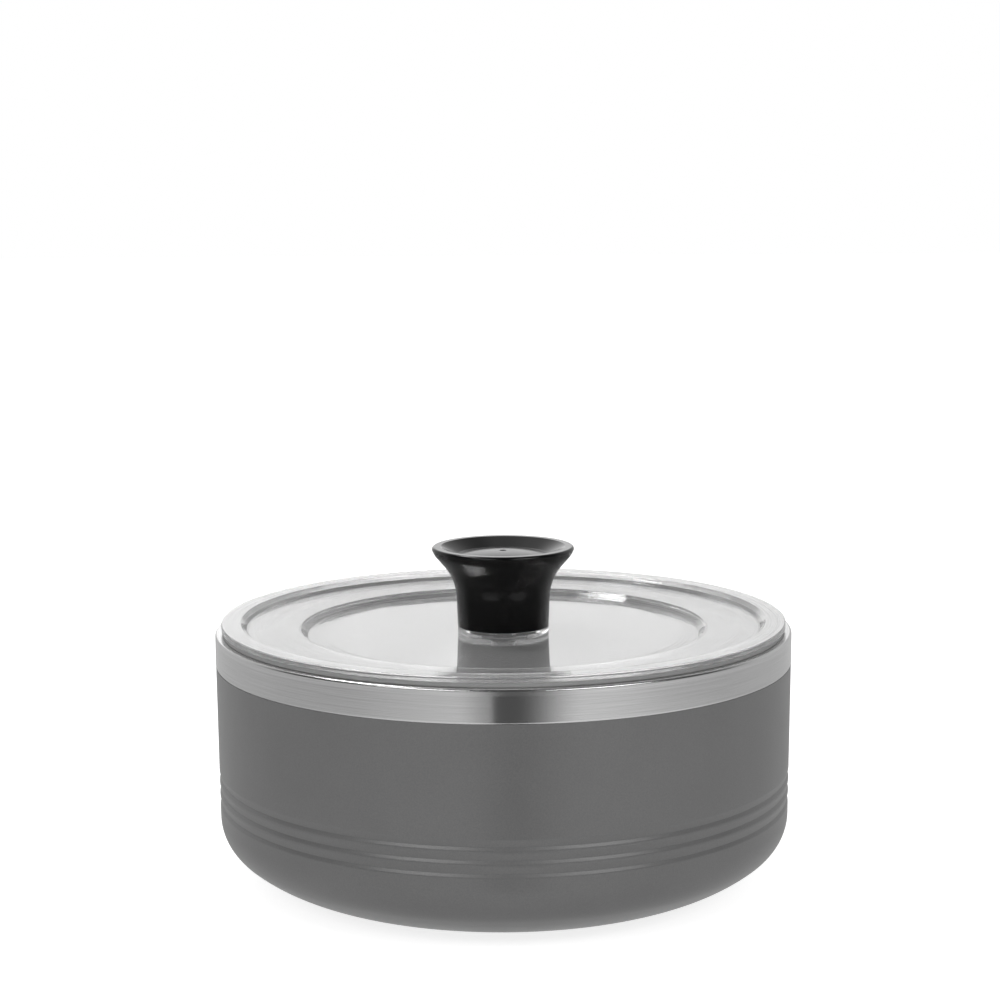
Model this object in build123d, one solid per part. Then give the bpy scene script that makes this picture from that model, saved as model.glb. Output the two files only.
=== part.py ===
from build123d import *
import os
from math import atan2, cos, hypot, radians, sin, sqrt, tan

# Lidded serving bowl: a double-walled steel bowl, a clear lift-off lid and a flared knob.
# Sizes are in millimetres. +Z is up, and the origin is the centre of the face that the bowl stands on.
# Every turned piece shares the Z axis.

# Bowl walls
RIM_RADIUS = 95.4
BOWL_HEIGHT = 83.1
WALL_DRAFT = 0.55
SHEET = 0.6
VACUUM_GAP = 5.8
CORNER_SIDE_RADIUS = 15.0
CORNER_BASE_RADIUS = 43.0
CORNER_SPLIT = 50.0
MOUTH_BEND = 0.9
RIM_BEND = 0.1
RIM_DROP = 2.0

# Rolled grooves, counted up from the bend at the base
GROOVE_COUNT = 3
GROOVE_PITCH = 4.15
GROOVE_DEPTH = 0.35
GROOVE_UPPER_FLANK = 0.6
GROOVE_LOWER_FLANK = 1.5
GROOVE_LAND = 3.5

# Coat on the outer wall below the bare band, which stands out from that wall by a small step
BAND_HEIGHT = 10.5
BAND_STEP = 0.22
BAND_STEP_HEIGHT = 0.5
COAT = 0.12
COAT_SEAT = 0.03

# Base cover with its foot ring, and the sealed port above it
BASE_SHEET = 0.6
BASE_MARGIN = 3.5
COAT_TO_COVER = 0.3
FOOT_WIDTH = 12.2
PANEL_RISE = 0.8
PANEL_RUN = 2.5
DIMPLE_CLEARANCE = 1.5
DIMPLE_RUN = 3.5
PORT_RADIUS = 1.0
PORT_CLEARANCE = 0.05
BEAD_RADIUS = 3.0
BEAD_HEIGHT = 1.1
BEAD_EDGE_RADIUS = 0.9
BEAD_CLEARANCE = 0.5

# Getter in the vacuum
PELLET_RADIUS = 4.0
PELLET_HEIGHT = 2.2
STRAP_SHEET = 0.4
STRAP_WIDTH = 5.0
STRAP_FOOT = 4.0
STRAP_CLEARANCE = 0.1

# Lid
RIM_SHOW = 2.0
FLANGE_THICKNESS = 1.75
FLANGE_WIDTH = 6.4
FLANGE_EDGE_RADIUS = 0.4
LEDGE_DROP = 2.25
LEDGE_RUN = 3.7
LEDGE_WIDTH = 16.0
LEDGE_FALL = 0.5
STEP_RUN = 2.35
STEP_DROP = 2.3
LID_THICKNESS = 2.2
LID_BEND_RADIUS = 0.8
SKIRT_GAP = 1.8
SKIRT_THICKNESS = 1.8
SKIRT_DEPTH = 7.5
SKIRT_BEAD = 0.5
SKIRT_BEAD_HEIGHT = 1.5
SEAT_HEIGHT = 2.05
SEAT_WEB = 2.2
SEAT_FILLET = 0.5

# Gasket round the skirt
GASKET_THICKNESS = 1.5
GASKET_LIP_THICKNESS = 1.3
GASKET_LIP_WIDTH = 2.0
GASKET_INSET = 0.35
GASKET_CLEARANCE = 0.1
SLEEVE_THICKNESS = 0.8
FIN_COUNT = 2
FIN_PITCH = 1.7
FIN_HEIGHT = 0.8
FIN_TIP = 0.3
MOUTH_CLEARANCE = 0.3

# Knob, whose rim is measured to its sharp corner, before the edge is rounded
KNOB_FOOT_RADIUS = 15.15
KNOB_WAIST_RADIUS = 15.8
KNOB_WAIST_HEIGHT = 15.85
KNOB_RIM_RADIUS = 24.15
KNOB_HEIGHT = 26.65
KNOB_LIP_HEIGHT = 2.9
KNOB_LIP_TAPER = 1.4
KNOB_LIP_BEND = 6.5
LIP_BEND_SHARE = 0.4
KNOB_FLARE_RADIUS = 17.5
FLARE_BEND_SHARE = 0.7
KNOB_EDGE_RADIUS = 0.9
KNOB_FOOT_EDGE_RADIUS = 0.3
KNOB_RIM_WIDTH = 3.45
DISH_EDGE_RADIUS = 0.5
DISH_DEPTH = 2.9
DISH_RUN = 5.6
DOME_RISE = 1.4

# Screw, washer, seal and threaded insert that hold the knob
SCREW_RADIUS = 2.5
SCREW_HOLE_CLEARANCE = 0.25
THREAD_CLEARANCE = 0.05
HEAD_RADIUS = 4.75
HEAD_HEIGHT = 3.0
HEAD_EDGE_RADIUS = 1.2
DRIVE_WIDTH = 1.1
DRIVE_LENGTH = 4.6
DRIVE_DEPTH = 1.5
WASHER_RADIUS = 7.5
WASHER_THICKNESS = 1.0
SEAL_THICKNESS = 0.8
SEAL_INSET = 0.3
WASHER_CLEARANCE = 0.5
INSERT_RADIUS = 3.5
INSERT_LENGTH = 12.0
INSERT_GROOVE = 0.4
INSERT_GROOVE_LENGTH = 3.0
INSERT_CLEARANCE = 0.05
POCKET_RELIEF = 2.0
SCREW_SHORTFALL = 1.0


def spot(radius, height):
    """Point of a turned profile, on the XZ plane."""
    return Vector(radius, 0, height)


def facing(turn):
    """Outward direction of the wall after it has turned in by some degrees, 90 being straight down."""
    return spot(cos(radians(turn)), -sin(radians(turn)))


def turned(corners):
    """Solid of revolution from closed corners, each a radius, a height and the fillet at that corner."""
    points = [spot(r, z) for r, z, _ in corners]
    fillets = [f for *_, f in corners]
    return revolve(make_face(FilletPolyline(*points, radius=fillets, close=True)), Axis.Z)


def between(outer, inner):
    """Solid of revolution between two runs of edges, closed by straight lines at both ends."""
    start = Line(outer[0] @ 0, inner[0] @ 0)
    end = Line(outer[-1] @ 1, inner[-1] @ 1)
    return revolve(make_face([*outer, *inner, start, end]), Axis.Z)


# Bend between wall and base: a tight arc beside the wall, then a flatter one that runs into the base
BASE_UNDERSIDE = BASE_SHEET
coat_top = BOWL_HEIGHT - BAND_HEIGHT
coat_top_radius = RIM_RADIUS - BAND_STEP
bend_rise = CORNER_BASE_RADIUS - (CORNER_BASE_RADIUS - CORNER_SIDE_RADIUS) * sin(radians(CORNER_SPLIT))
wall_foot = BASE_UNDERSIDE + bend_rise - CORNER_SIDE_RADIUS * sin(radians(WALL_DRAFT))
wall_foot_radius = coat_top_radius - (coat_top - wall_foot) * tan(radians(WALL_DRAFT))
side_centre = spot(wall_foot_radius, wall_foot) - facing(WALL_DRAFT) * CORNER_SIDE_RADIUS
base_centre = side_centre - facing(CORNER_SPLIT) * (CORNER_BASE_RADIUS - CORNER_SIDE_RADIUS)
flat_radius = base_centre.X


def wall_radius(height, offset):
    """Radius of the straight wall at a height, on the face that lies offset inside the outer face."""
    foot = side_centre + facing(WALL_DRAFT) * (CORNER_SIDE_RADIUS - offset)
    return foot.X + (height - foot.Z) * tan(radians(WALL_DRAFT))


def wall_points(offset):
    """Corners of the wall down from the coat's top: each groove is a short flank in and a longer one out."""
    points = [spot(wall_radius(coat_top, offset), coat_top)]
    for index in reversed(range(GROOVE_COUNT)):
        bottom = wall_foot + GROOVE_LAND + index * GROOVE_PITCH
        root = bottom + GROOVE_LOWER_FLANK
        top = root + GROOVE_UPPER_FLANK
        points.append(spot(wall_radius(top, offset), top))
        points.append(spot(wall_radius(root, offset) - GROOVE_DEPTH, root))
        points.append(spot(wall_radius(bottom, offset), bottom))
    return points


def bend_arc(centre, radius, turn_from, turn_to):
    """Arc of the bend, between two turns of the wall."""
    turns = (turn_from, (turn_from + turn_to) / 2, turn_to)
    return ThreePointArc(*[centre + facing(turn) * radius for turn in turns])


def wall_run(offset, side_points, base):
    """Edges of one wall face: down the points of its side, round the bend and in along those of its base."""
    side = bend_arc(side_centre, CORNER_SIDE_RADIUS - offset, WALL_DRAFT, CORNER_SPLIT)
    floor = bend_arc(base_centre, CORNER_BASE_RADIUS - offset, CORNER_SPLIT, 90)
    upright = Polyline(*side_points, side @ 0)
    level = Polyline(floor @ 1, *base)
    return [*upright.edges(), side, floor, *level.edges()]


# Outer shell, raised in the middle of its base to make room for the port
cover_radius = flat_radius - BASE_MARGIN
foot_inner_radius = cover_radius - FOOT_WIDTH
dimple_foot = foot_inner_radius + DIMPLE_CLEARANCE
dimple_top = dimple_foot - DIMPLE_RUN
dimple_rise = PANEL_RISE + BEAD_HEIGHT + BEAD_CLEARANCE
shell_top = BOWL_HEIGHT - RIM_DROP


def shell_base(offset):
    """Corners of the shell's base from the bend to the port, on the face at an offset."""
    low = BASE_UNDERSIDE + offset
    high = low + dimple_rise
    return [spot(dimple_foot, low), spot(dimple_top, high), spot(PORT_RADIUS, high)]


def shell_run(offset):
    """Edges of one face of the shell: down the bare band, over its step and on down the wall to the port."""
    band_radius = RIM_RADIUS - offset
    band = [spot(band_radius, shell_top), spot(band_radius, coat_top + BAND_STEP_HEIGHT)]
    return wall_run(offset, band + wall_points(offset), shell_base(offset))


outer_shell = between(shell_run(0), shell_run(SHEET))

# Coat, a thin skin that ends just short of the base cover
coat_inside = -COAT_SEAT
coat_outside = -COAT_SEAT - COAT


def coat_run(offset):
    """Edges of one face of the coat."""
    end = spot(cover_radius + COAT_TO_COVER, BASE_UNDERSIDE + offset)
    return wall_run(offset, wall_points(offset), [end])


powder_coat = between(coat_run(coat_outside), coat_run(coat_inside))

# Liner, whose rim turns out over the vacuum and then down to meet the outer shell
liner_inside = SHEET + VACUUM_GAP + SHEET
rim_turn = RIM_BEND + SHEET
mouth_turn = MOUTH_BEND + SHEET
mouth_height = BOWL_HEIGHT - mouth_turn
mouth_radius = wall_radius(mouth_height, liner_inside)
rim_centre = spot(RIM_RADIUS - rim_turn, BOWL_HEIGHT - rim_turn)
mouth_centre = spot(mouth_radius + mouth_turn, mouth_height)


def quarter_turn(centre, radius, side):
    """Quarter arc between the top of a bend and its outer (side 1) or inner (side -1) end."""
    diagonal = spot(side * radius * sqrt(0.5), radius * sqrt(0.5))
    return ThreePointArc(centre + spot(0, radius), centre + diagonal, centre + spot(side * radius, 0))


def liner_run(depth):
    """Edges of the liner's face at a depth in its sheet: up the rim's edge, over it and down the wall."""
    offset = liner_inside - depth
    edge = quarter_turn(rim_centre, rim_turn - depth, 1)
    mouth = quarter_turn(mouth_centre, mouth_turn - depth, -1)
    outside = Line(spot(RIM_RADIUS - depth, shell_top), edge @ 1)
    top = Line(edge @ 0, mouth @ 0)
    floor = spot(0, BASE_UNDERSIDE + offset)
    return [outside, edge, top, mouth, *wall_run(offset, [mouth @ 1], [floor])]


inner_bowl = between(liner_run(0), liner_run(SHEET))

# Base cover: a foot ring against the shell and a raised panel under the port
panel_radius = foot_inner_radius - PANEL_RUN
base_cover = turned([
    (0, PANEL_RISE, 0),
    (panel_radius, PANEL_RISE, 0),
    (foot_inner_radius, 0, 0),
    (cover_radius, 0, 0),
    (cover_radius, BASE_SHEET, 0),
    (foot_inner_radius, BASE_SHEET, 0),
    (panel_radius, BASE_SHEET + PANEL_RISE, 0),
    (0, BASE_SHEET + PANEL_RISE, 0),
])

# Bead that closes the port, with a stem in the hole
port_under = BASE_UNDERSIDE + dimple_rise
port_over = port_under + SHEET
stem_radius = PORT_RADIUS - PORT_CLEARANCE
port_seal = turned([
    (0, port_under - BEAD_HEIGHT, 0),
    (BEAD_RADIUS, port_under - BEAD_HEIGHT, min(BEAD_EDGE_RADIUS, BEAD_HEIGHT)),
    (BEAD_RADIUS, port_under, 0),
    (stem_radius, port_under, 0),
    (stem_radius, port_over, 0),
    (0, port_over, 0),
])

# Getter: a pellet on the shell's base and a hat-shaped strap over it
getter_floor = BASE_UNDERSIDE + SHEET
getter_place = (dimple_foot + flat_radius) / 2
pellet_middle = getter_floor + PELLET_HEIGHT / 2
getter_pellet = Pos(getter_place, 0, pellet_middle) * Cylinder(PELLET_RADIUS, PELLET_HEIGHT)
strap_inside = PELLET_RADIUS + STRAP_CLEARANCE
strap_under = getter_floor + PELLET_HEIGHT + STRAP_CLEARANCE
strap_outside = strap_inside + STRAP_SHEET
strap_toe = strap_outside + STRAP_FOOT
strap_half = [
    (strap_inside, strap_under),
    (strap_inside, getter_floor),
    (strap_toe, getter_floor),
    (strap_toe, getter_floor + STRAP_SHEET),
    (strap_outside, getter_floor + STRAP_SHEET),
    (strap_outside, strap_under + STRAP_SHEET),
]
strap_corners = strap_half + [(-y, z) for y, z in reversed(strap_half)]
strap_outline = make_face(Polyline(*[Vector(0, y, z) for y, z in strap_corners], close=True))
getter_clip = Pos(getter_place, 0, 0) * extrude(strap_outline, STRAP_WIDTH / 2, dir=(1, 0, 0), both=True)

# Lid: flange on the gasket, wall down to the ledge, step down to the disc and raised seat for the knob
flange_radius = RIM_RADIUS - RIM_SHOW
flange_under = BOWL_HEIGHT + GASKET_THICKNESS
flange_top = flange_under + FLANGE_THICKNESS
wall_top_radius = flange_radius - FLANGE_WIDTH
ledge_radius = wall_top_radius - LEDGE_RUN
ledge_top = flange_top - LEDGE_DROP
step_radius = ledge_radius - LEDGE_WIDTH
step_top = ledge_top - LEDGE_FALL
disc_radius = step_radius - STEP_RUN
disc_top = step_top - STEP_DROP
disc_under = disc_top - LID_THICKNESS
step_shift = LID_THICKNESS * tan(atan2(STEP_DROP, STEP_RUN) / 2)
skirt_radius = mouth_radius - SKIRT_GAP
skirt_inner_radius = skirt_radius - SKIRT_THICKNESS
skirt_foot = BOWL_HEIGHT - SKIRT_DEPTH
bead_radius = skirt_radius + SKIRT_BEAD
bead_top = skirt_foot + SKIRT_BEAD_HEIGHT
seat_top = disc_top + SEAT_HEIGHT
seat_under = seat_top - SEAT_WEB
counterbore_radius = WASHER_RADIUS + WASHER_CLEARANCE
screw_hole_radius = SCREW_RADIUS + SCREW_HOLE_CLEARANCE
lid_plate = turned([
    (screw_hole_radius, seat_top, 0),
    (KNOB_FOOT_RADIUS, seat_top, 0),
    (KNOB_FOOT_RADIUS, disc_top, SEAT_FILLET),
    (disc_radius, disc_top, LID_BEND_RADIUS),
    (step_radius, step_top, LID_BEND_RADIUS),
    (ledge_radius, ledge_top, LID_BEND_RADIUS),
    (wall_top_radius, flange_top, LID_BEND_RADIUS),
    (flange_radius, flange_top, FLANGE_EDGE_RADIUS),
    (flange_radius, flange_under, 0),
    (skirt_radius, flange_under, 0),
    (skirt_radius, bead_top, 0),
    (bead_radius, bead_top - SKIRT_BEAD, 0),
    (bead_radius, skirt_foot, 0),
    (skirt_inner_radius, skirt_foot, 0),
    (skirt_inner_radius, ledge_top - LID_THICKNESS, 0),
    (step_radius + step_shift, step_top - LID_THICKNESS, 0),
    (disc_radius + step_shift, disc_under, 0),
    (counterbore_radius, disc_under, 0),
    (counterbore_radius, seat_under, 0),
    (screw_hole_radius, seat_under, 0),
])

# Gasket: a ring on the rim with a thin outer lip, a sleeve round the skirt and fins towards the mouth's wall
gasket_inner_radius = skirt_radius + GASKET_CLEARANCE
gasket_outer_radius = flange_radius - GASKET_INSET
lip_root_radius = gasket_outer_radius - GASKET_LIP_WIDTH
lip_under = flange_under - GASKET_LIP_THICKNESS
sleeve_radius = gasket_inner_radius + SLEEVE_THICKNESS
fin_radius = mouth_radius - MOUTH_CLEARANCE
sleeve_foot = bead_top + GASKET_CLEARANCE
gasket_corners = [
    (gasket_inner_radius, sleeve_foot, 0),
    (sleeve_radius, sleeve_foot, 0),
]
for fin in range(FIN_COUNT):
    fin_low = sleeve_foot + FIN_PITCH * (fin + 0.5)
    gasket_corners += [
        (sleeve_radius, fin_low, 0),
        (fin_radius, fin_low + (FIN_HEIGHT - FIN_TIP) / 2, 0),
        (fin_radius, fin_low + (FIN_HEIGHT + FIN_TIP) / 2, 0),
        (sleeve_radius, fin_low + FIN_HEIGHT, 0),
    ]
gasket_corners += [
    (sleeve_radius, BOWL_HEIGHT, 0),
    (lip_root_radius, BOWL_HEIGHT, 0),
    (lip_root_radius, lip_under, 0),
    (gasket_outer_radius, lip_under, 0),
    (gasket_outer_radius, flange_under, 0),
    (gasket_inner_radius, flange_under, 0),
]
lid_gasket = turned(gasket_corners)


def bend_radius(wanted, turn, room):
    """Radius of a bend by a turn, limited by the room that it has along its walls."""
    return min(wanted, room / tan(abs(turn) / 2))


# Knob: a plain stem that flares to a rounded lip, with a dished top round a low dome
knob_top = seat_top + KNOB_HEIGHT
flare_foot = seat_top + KNOB_WAIST_HEIGHT
lip_foot = knob_top - KNOB_LIP_HEIGHT
lip_foot_radius = KNOB_RIM_RADIUS - KNOB_LIP_TAPER
flare_reach = lip_foot_radius - KNOB_WAIST_RADIUS
flare_rise = lip_foot - flare_foot
flare_lean = atan2(flare_reach, flare_rise)
flare_room = FLARE_BEND_SHARE * hypot(flare_reach, flare_rise)
flare_bend = bend_radius(KNOB_FLARE_RADIUS, flare_lean, flare_room)
lip_lean = atan2(KNOB_LIP_TAPER, KNOB_LIP_HEIGHT)
lip_room = LIP_BEND_SHARE * hypot(KNOB_LIP_TAPER, KNOB_LIP_HEIGHT)
lip_bend = bend_radius(KNOB_LIP_BEND, flare_lean - lip_lean, lip_room)
pocket_radius = INSERT_RADIUS + INSERT_CLEARANCE
pocket_top = seat_top + INSERT_LENGTH + POCKET_RELIEF
dish_edge_radius = KNOB_RIM_RADIUS - KNOB_RIM_WIDTH
dome_radius = dish_edge_radius - DISH_RUN
dome_foot = knob_top - DISH_DEPTH
dome_sphere = (dome_radius ** 2 + DOME_RISE ** 2) / (2 * DOME_RISE)
dome_crown = spot(0, dome_foot + DOME_RISE)
dome_centre = dome_crown.Z - dome_sphere
dome_middle = spot(dome_radius / 2, dome_centre + sqrt(dome_sphere ** 2 - dome_radius ** 2 / 4))
knob_side = [
    (0, pocket_top, 0),
    (pocket_radius, pocket_top, 0),
    (pocket_radius, seat_top, 0),
    (KNOB_FOOT_RADIUS, seat_top, KNOB_FOOT_EDGE_RADIUS),
    (KNOB_WAIST_RADIUS, flare_foot, flare_bend),
    (lip_foot_radius, lip_foot, lip_bend),
    (KNOB_RIM_RADIUS, knob_top, KNOB_EDGE_RADIUS),
    (dish_edge_radius, knob_top, DISH_EDGE_RADIUS),
    (dome_radius, dome_foot, 0),
]
knob_points = [spot(r, z) for r, z, _ in knob_side]
knob_outline = FilletPolyline(*knob_points, radius=[f for *_, f in knob_side[1:-1]])
knob_dome = ThreePointArc(spot(dome_radius, dome_foot), dome_middle, dome_crown)
knob_axis = Line(dome_crown, spot(0, pocket_top))
knob = revolve(make_face([*knob_outline.edges(), knob_dome, knob_axis]), Axis.Z)

# Threaded insert, with a groove that the moulding grips
bore_radius = SCREW_RADIUS + THREAD_CLEARANCE
groove_low = seat_top + (INSERT_LENGTH - INSERT_GROOVE_LENGTH) / 2
groove_high = groove_low + INSERT_GROOVE_LENGTH
insert_top = seat_top + INSERT_LENGTH
knob_insert = turned([
    (bore_radius, seat_top, 0),
    (INSERT_RADIUS, seat_top, 0),
    (INSERT_RADIUS, groove_low, 0),
    (INSERT_RADIUS - INSERT_GROOVE, groove_low, 0),
    (INSERT_RADIUS - INSERT_GROOVE, groove_high, 0),
    (INSERT_RADIUS, groove_high, 0),
    (INSERT_RADIUS, insert_top, 0),
    (bore_radius, insert_top, 0),
])

# Seal and washer under the web of the seat, then the screw up through both
seal_under = seat_under - SEAL_THICKNESS
washer_under = seal_under - WASHER_THICKNESS
head_under = washer_under - HEAD_HEIGHT
washer_seal = turned([
    (screw_hole_radius, seal_under, 0),
    (WASHER_RADIUS - SEAL_INSET, seal_under, 0),
    (WASHER_RADIUS - SEAL_INSET, seat_under, 0),
    (screw_hole_radius, seat_under, 0),
])
screw_washer = turned([
    (screw_hole_radius, washer_under, 0),
    (WASHER_RADIUS, washer_under, 0),
    (WASHER_RADIUS, seal_under, 0),
    (screw_hole_radius, seal_under, 0),
])
screw_blank = turned([
    (0, head_under, 0),
    (HEAD_RADIUS, head_under, HEAD_EDGE_RADIUS),
    (HEAD_RADIUS, washer_under, 0),
    (SCREW_RADIUS, washer_under, 0),
    (SCREW_RADIUS, insert_top - SCREW_SHORTFALL, 0),
    (0, insert_top - SCREW_SHORTFALL, 0),
])
drive_place = Pos(0, 0, head_under + DRIVE_DEPTH / 2)
drive_cross = Box(DRIVE_LENGTH, DRIVE_WIDTH, DRIVE_DEPTH) + Box(DRIVE_WIDTH, DRIVE_LENGTH, DRIVE_DEPTH)
knob_screw = screw_blank - drive_place * drive_cross

pieces = {
    "outer_shell": outer_shell,
    "powder_coat": powder_coat,
    "inner_bowl": inner_bowl,
    "base_cover": base_cover,
    "port_seal": port_seal,
    "getter_pellet": getter_pellet,
    "getter_clip": getter_clip,
    "lid_plate": lid_plate,
    "lid_gasket": lid_gasket,
    "knob": knob,
    "knob_insert": knob_insert,
    "knob_screw": knob_screw,
    "screw_washer": screw_washer,
    "washer_seal": washer_seal,
}
os.makedirs("parts", exist_ok=True)
for name, piece in pieces.items():
    export_step(piece, f"parts/{name}.step")
    print(name, "volume", round(piece.volume, 1), "mm3")
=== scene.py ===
"""Studio scene of a lidded serving bowl.

A double-walled steel bowl with a grey coat carries a clear lift-off lid with a black flared knob.
Lengths are in metres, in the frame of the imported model: +Z is up and the bowl stands on z = 0.
"""

from __future__ import annotations

import logging
import math
from dataclasses import dataclass, field
from enum import Enum
from typing import Any, Callable, Sequence, Union

import bmesh
import bpy
from mathutils import Matrix, Vector

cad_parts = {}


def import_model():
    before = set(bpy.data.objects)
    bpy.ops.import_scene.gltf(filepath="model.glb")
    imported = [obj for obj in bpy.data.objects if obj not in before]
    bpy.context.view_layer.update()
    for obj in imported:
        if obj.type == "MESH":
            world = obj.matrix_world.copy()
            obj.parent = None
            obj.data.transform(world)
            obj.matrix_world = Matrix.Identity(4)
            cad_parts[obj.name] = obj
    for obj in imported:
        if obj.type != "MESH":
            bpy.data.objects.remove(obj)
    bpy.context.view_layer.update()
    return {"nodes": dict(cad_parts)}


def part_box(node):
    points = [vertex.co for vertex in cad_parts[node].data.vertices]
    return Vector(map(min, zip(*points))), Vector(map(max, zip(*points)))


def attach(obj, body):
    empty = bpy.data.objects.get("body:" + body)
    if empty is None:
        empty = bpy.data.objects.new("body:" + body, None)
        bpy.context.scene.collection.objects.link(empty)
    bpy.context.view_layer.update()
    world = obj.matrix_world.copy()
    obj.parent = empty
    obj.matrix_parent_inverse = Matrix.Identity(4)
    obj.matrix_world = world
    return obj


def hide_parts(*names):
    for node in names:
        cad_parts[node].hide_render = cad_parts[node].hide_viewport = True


log = logging.getLogger("serving_bowl")

MM = 0.001
SMOOTH = {"interpolation_type": "SMOOTHSTEP"}
SHARP_ANGLE = math.radians(38)
RAYS = ("Is Camera Ray", "Is Glossy Ray", "Is Transmission Ray")
Colour = tuple[float, float, float, float]
Number = Union["Value", float]


class Body(Enum):
    """Bodies of the frame that pieces ride on."""

    BOWL = "bowl"
    LID = "lid"


class Slot(Enum):
    """Material slots of the record."""

    BRUSHED_STEEL = "brushed_steel"
    GREY_COAT = "grey_coat"
    BRAZE = "braze"
    GETTER = "getter"
    CLEAR_PLASTIC = "clear_plastic"
    SILICONE = "silicone"
    BLACK_PLASTIC = "black_plastic"
    BRASS = "brass"
    SCREW_STEEL = "screw_steel"


def grey(level: float) -> Colour:
    """Neutral colour of a linear level."""
    return (level, level, level, 1.0)


def math_operator(operation: str, reflected: bool = False) -> Callable[["Value", "Number"], "Value"]:
    """Makes a Python operator of a Math node.

    Args:
        operation: Operation of the node.
        reflected: Whether the other number comes first.

    Returns:
        The operator's method.
    """

    def method(self: "Value", other: "Number") -> "Value":
        """Result of the Math node."""
        return self.tree.math(operation, *((other, self) if reflected else (self, other)))

    return method


class Value:
    """Number socket of a node tree, on which Python's operators add Math nodes."""

    __add__ = __radd__ = math_operator("ADD")
    __sub__ = math_operator("SUBTRACT")
    __rsub__ = math_operator("SUBTRACT", reflected=True)
    __mul__ = __rmul__ = math_operator("MULTIPLY")
    __truediv__ = math_operator("DIVIDE")
    __pow__ = math_operator("POWER")

    def __init__(self, tree: "ShaderTree", socket: bpy.types.NodeSocket) -> None:
        """Wraps an output socket of a tree."""
        self.tree = tree
        self.socket = socket

    def step(self, low: float, high: float) -> "Value":
        """Smooth step from 0 where the number is low to 1 where it is high."""
        sockets = {"Value": self, "From Min": low, "From Max": high}
        return Value(self.tree, self.tree.add("ShaderNodeMapRange", SMOOTH, sockets).outputs["Result"])


class ShaderTree:
    """Node tree of a material or of the world, filled node by node."""

    def __init__(self, tree: bpy.types.NodeTree) -> None:
        """Takes a tree and empties it."""
        self.tree = tree
        tree.nodes.clear()

    def add(self, kind: str, settings: dict[str, Any], sockets: dict[Any, Any]) -> bpy.types.Node:
        """Adds a node.

        Args:
            kind: Type of the node.
            settings: Properties of the node, set before its sockets.
            sockets: Values or links of its input sockets, by name or index.

        Returns:
            The new node.
        """
        node = self.tree.nodes.new(kind)
        for name, setting in settings.items():
            setattr(node, name, setting)
        for key, source in sockets.items():
            link = source.socket if isinstance(source, Value) else source
            if isinstance(link, bpy.types.NodeSocket):
                self.tree.links.new(link, node.inputs[key])
            else:
                node.inputs[key].default_value = link
        return node

    def math(self, operation: str, *operands: Number) -> Value:
        """Result of a Math node, with its numbers in order."""
        node = self.add("ShaderNodeMath", {"operation": operation}, dict(enumerate(operands)))
        return Value(self, node.outputs[0])

    def rays(self, *outputs: str) -> list[Value]:
        """What is asked about the ray that meets the surface."""
        path = self.add("ShaderNodeLightPath", {}, {})
        return [Value(self, path.outputs[name]) for name in outputs]

    def place(self) -> bpy.types.NodeSocket:
        """Place on the piece, in its own coordinates."""
        return self.add("ShaderNodeTexCoord", {}, {}).outputs["Object"]

    def split(self, vector: bpy.types.NodeSocket) -> list[Value]:
        """Parts of a vector along X, Y and Z."""
        node = self.add("ShaderNodeSeparateXYZ", {}, {"Vector": vector})
        return [Value(self, part) for part in node.outputs]

    def join(self, *parts: Number) -> bpy.types.NodeSocket:
        """Vector from its parts along X, Y and Z."""
        return self.add("ShaderNodeCombineXYZ", {}, dict(enumerate(parts))).outputs[0]

    def noise(self, vector: bpy.types.NodeSocket, grain: float, detail: float = 2.0) -> Value:
        """Noise at a place, about one half on average, with grains of a size and finer layers."""
        sockets = {"Vector": vector, "Scale": 1.0 / grain, "Detail": detail}
        return Value(self, self.add("ShaderNodeTexNoise", {}, sockets).outputs["Fac"])

    def blend(self, first: Colour, second: Colour, share: Number) -> bpy.types.NodeSocket:
        """Colour that goes from the first to the second as the share goes from 0 to 1."""
        return self.add("ShaderNodeMix", {"data_type": "RGBA"}, {0: share, 6: first, 7: second}).outputs[2]

    def bump(self, height: Value, depth: float) -> bpy.types.NodeSocket:
        """Normal of a relief, whose height goes from 0 to 1 over its depth."""
        sockets = {"Height": height, "Distance": depth, "Strength": 1.0}
        return self.add("ShaderNodeBump", {}, sockets).outputs["Normal"]

    def surface(self, sockets: dict[str, Any]) -> None:
        """Adds the principled shader, with its sockets, and the output that shows it."""
        shader = self.add("ShaderNodeBsdfPrincipled", {}, sockets)
        self.add("ShaderNodeOutputMaterial", {}, {"Surface": shader.outputs[0]})


@dataclass(frozen=True)
class Finish:
    """Finish of a piece. Each kind fills its own node tree."""

    name: str  # Name of the finish, from which the material takes its own
    slot: Slot  # Slot of the record

    def material(self) -> bpy.types.Material:
        """Material of this finish, made once."""
        label = self.name + "_finish"
        known = bpy.data.materials.get(label)
        if known is not None:
            return known
        made = bpy.data.materials.new(label)
        made.use_nodes = True
        self.fill(ShaderTree(made.node_tree))
        return made

    def fill(self, tree: ShaderTree) -> None:
        """Fills the node tree of the finish."""
        raise NotImplementedError


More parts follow.
